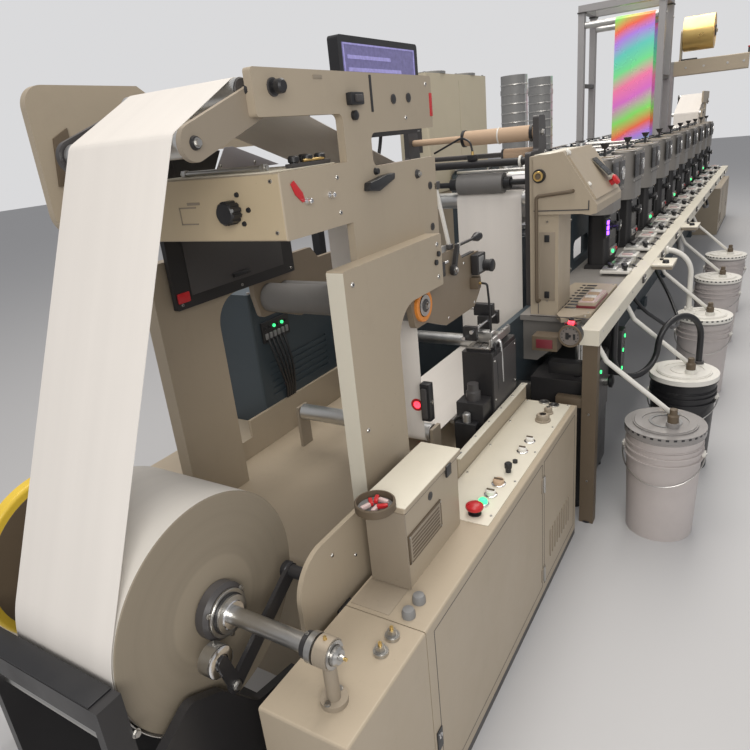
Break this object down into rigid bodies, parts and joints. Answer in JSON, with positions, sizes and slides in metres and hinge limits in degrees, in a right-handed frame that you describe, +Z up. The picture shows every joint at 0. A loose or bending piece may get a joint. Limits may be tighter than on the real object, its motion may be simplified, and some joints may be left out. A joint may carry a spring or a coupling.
{
  "type": "flexographic printing press",
  "caption": "Narrow-web flexographic press: roll unwind and web tower, operator console, line of ten print stations, film portal, ink pails and rewind",
  "frame": {"origin": "centre of the bounding box at floor level", "axes": "+X down the press from unwind to rewind, +Y from the operator's side to the gear side, +Z up"},
  "size_m": [10.635, 1.6968, 2.44],
  "materials": {
    "cream": "satin",
    "white_cream": "satin",
    "black_metal": "satin",
    "dark_blue": "satin",
    "steel": "brushed",
    "chrome": "polished",
    "aluminium": "satin",
    "paper": "matte",
    "kraft": "matte",
    "black_plastic": "matte",
    "grey_plastic": "matte",
    "white_plastic": "gloss",
    "red_plastic": "gloss",
    "orange": "satin",
    "yellow": "gloss",
    "screen": "gloss",
    "film": "gloss",
    "gold": "polished",
    "plate_roll": "matte",
    "anilox": "satin"
  },
  "bodies": {
    "press": {"base_sides_operator": "cream", "base_sides_gear": "cream", "base_cross_housings": "cream", "inner_guard_plate": "cream", "roll_stand": "black_metal", "shaft_bearings": "cream", "brake_arm": "black_metal", "brake_guard": "yellow", "support_plates": "cream", "tower_plates": "cream", "infeed_cross_box": "cream", "infeed_housing": "black_metal", "web_arms_gear": "black_metal", "idler_arms": "cream", "guide_idlers": "aluminium", "paper_web": "paper", "nip_brackets": "cream", "nip_rollers": "plate_roll", "nip_end_rings": "orange", "control_box": "cream", "base_controls": "grey_plastic", "web_guide_box": "black_metal", "drive_cabinet": "dark_blue", "monitor_housing": "black_plastic", "monitor_screen": "screen", "console_post": "cream", "console_head": "cream", "emergency_stop": "red_plastic", "console_conduit": "grey_plastic", "bed_sides": "dark_blue", "bed_stretchers": "dark_blue", "riser_plates": "black_metal", "tie_bar": "black_metal", "core_rollers": "kraft", "deck_rail": "white_cream", "deck_shelf": "cream", "deck_controls": "aluminium", "station_frames": "dark_blue", "station_housings": "black_metal", "hand_knobs": "black_plastic", "impression_cylinders": "chrome", "plate_cylinders": "plate_roll", "anilox_rolls": "anilox", "ink_chambers": "aluminium", "tool_blocks": "aluminium", "dryer_hoods": "aluminium", "gear_covers": "cream", "dryer_cabinets": "cream", "film_portal": "black_metal", "film_web": "film", "foil_arm": "cream", "foil_roll": "gold", "ink_pails": "white_plastic", "pail_lids": "white_plastic", "rewind_roll": "paper"},
    "unwind_roll": {"paper_roll": "paper", "core_chucks": "black_metal", "unwind_shaft": "steel"},
    "guide_knob": {"guide_knob": "black_plastic"},
    "nip_lever": {"nip_lever": "black_metal"}
  },
  "joints": [
    {"name": "unwind_roll_spin", "type": "hinge", "parent": "press", "child": "unwind_roll", "pos_m": [-5.0025, 0.2185, 0.7], "axis": [0, 1, 0], "continuous": true},
    {"name": "guide_knob_turn", "type": "hinge", "parent": "press", "child": "guide_knob", "pos_m": [-4.6525, 0.0465, 1.475], "axis": [1, 0, 0], "range_deg": [-135, 135]},
    {"name": "nip_lever_turn", "type": "hinge", "parent": "press", "child": "nip_lever", "pos_m": [-3.8475, -0.1035, 1.172], "axis": [0, 1, 0], "range_deg": [-55, 0]}
  ]
}
